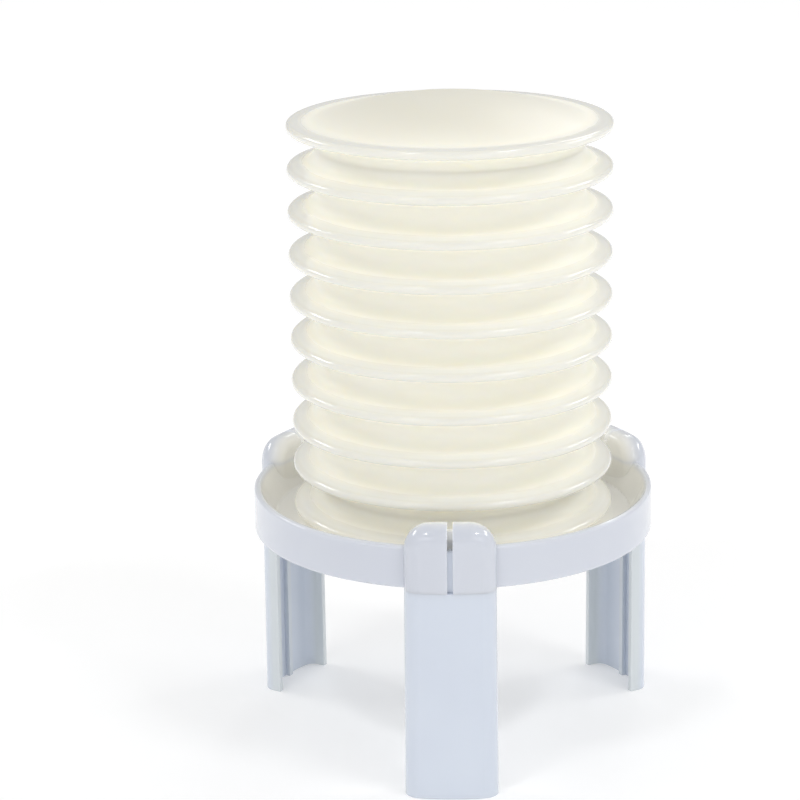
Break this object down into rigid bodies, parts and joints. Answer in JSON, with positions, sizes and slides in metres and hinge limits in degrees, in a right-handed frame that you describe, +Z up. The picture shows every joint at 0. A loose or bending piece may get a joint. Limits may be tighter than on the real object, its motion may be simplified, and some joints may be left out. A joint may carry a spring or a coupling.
{
  "type": "egg peeler",
  "caption": "Hand-pumped egg peeler: a soft bellows stands in a round tray on plug-in legs, and blows an egg out of its shell through a seal in the tray.",
  "frame": {"origin": "on the surface the feet stand on, under the axis of the bellows", "axes": "+Z up along the axis of the bellows; the front leg is on -Y; +X to the right of the front leg"},
  "size_m": [0.1504, 0.1552, 0.242],
  "materials": {
    "bellows": "glossy, creamy, slightly translucent",
    "tray": "glossy",
    "legs": "glossy outside, satin inside",
    "egg_seal": "satin",
    "seal_ring": "glossy"
  },
  "bodies": {
    "tray": {"tray": "tray", "egg_seal": "egg_seal"},
    "seal_ring": {"seal_ring": "seal_ring"},
    "leg_front": {"leg_front": "legs"},
    "leg_right": {"leg_right": "legs"},
    "leg_left": {"leg_left": "legs"},
    "bellows": {"bellows_foot": "bellows", "bellows_folds": "bellows"},
    "bellows_cap": {"bellows_cap": "bellows"}
  },
  "joints": [
    {"name": "bellows_lift", "type": "slide", "parent": "tray", "child": "bellows", "axis": [0, 0, 1], "range_m": [0, 0.16]},
    {"name": "bellows_press", "type": "slide", "parent": "bellows", "child": "bellows_cap", "axis": [0, 0, -1], "range_m": [0, 0.085], "stiffness_N_per_m": 300, "springref_m": -0.005, "deforming": ["bellows_folds"]},
    {"name": "leg_front_plug", "type": "slide", "parent": "tray", "child": "leg_front", "axis": [0, 0, -1], "range_m": [0, 0.03]},
    {"name": "leg_right_plug", "type": "slide", "parent": "tray", "child": "leg_right", "axis": [0, 0, -1], "range_m": [0, 0.03]},
    {"name": "leg_left_plug", "type": "slide", "parent": "tray", "child": "leg_left", "axis": [0, 0, -1], "range_m": [0, 0.03]},
    {"name": "seal_ring_twist", "type": "hinge", "parent": "tray", "child": "seal_ring", "pos_m": [0, 0, 0.0743], "axis": [0, 0, -1], "range_deg": [0, 60]}
  ]
}
